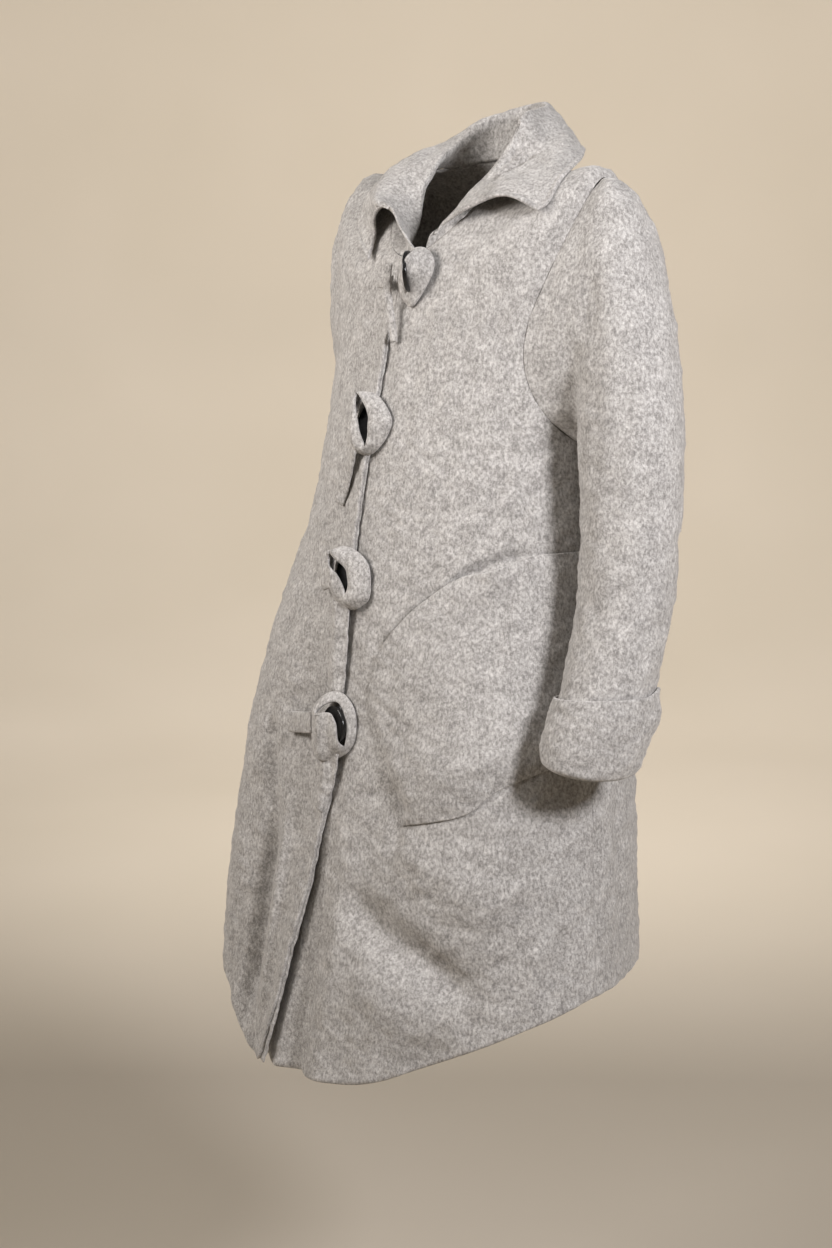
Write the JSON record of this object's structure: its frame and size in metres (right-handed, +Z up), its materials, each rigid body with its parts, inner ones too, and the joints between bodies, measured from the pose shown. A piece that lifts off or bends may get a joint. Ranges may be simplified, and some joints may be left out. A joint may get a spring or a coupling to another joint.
{
  "type": "wool coat",
  "caption": "Grey felted-wool A-line coat in its worn shape, with a wide collar, turn-back cuffs, curved patch pockets and slit wool tabs closed by black disc buttons.",
  "frame": {"origin": "between the shoulders at the base of the neck, where the wearer's shoulders carry the coat", "axes": "+Z up along the wearer, -Y out of the front, +X towards the wearer's left"},
  "size_m": [0.6831, 0.4072, 1.0583],
  "materials": {
    "felted_wool": "matt",
    "black_button": "gloss"
  },
  "bodies": {
    "root": {"front_left": "felted_wool", "front_right": "felted_wool", "back": "felted_wool", "sleeve_left": "felted_wool", "sleeve_right": "felted_wool", "cuff_left": "felted_wool", "cuff_right": "felted_wool", "collar": "felted_wool", "pocket_left": "felted_wool", "pocket_right": "felted_wool", "facing_right": "felted_wool", "underlap": "felted_wool", "tab_1": "felted_wool", "tab_2": "felted_wool", "tab_3": "felted_wool", "tab_4": "felted_wool", "tail_1": "felted_wool", "tail_2": "felted_wool", "tail_3": "felted_wool", "tail_4": "felted_wool", "stub_1": "felted_wool", "stub_2": "felted_wool", "stub_3": "felted_wool", "stub_4": "felted_wool", "button_1": "black_button", "button_2": "black_button", "button_3": "black_button", "button_4": "black_button"}
  },
  "joints": []
}
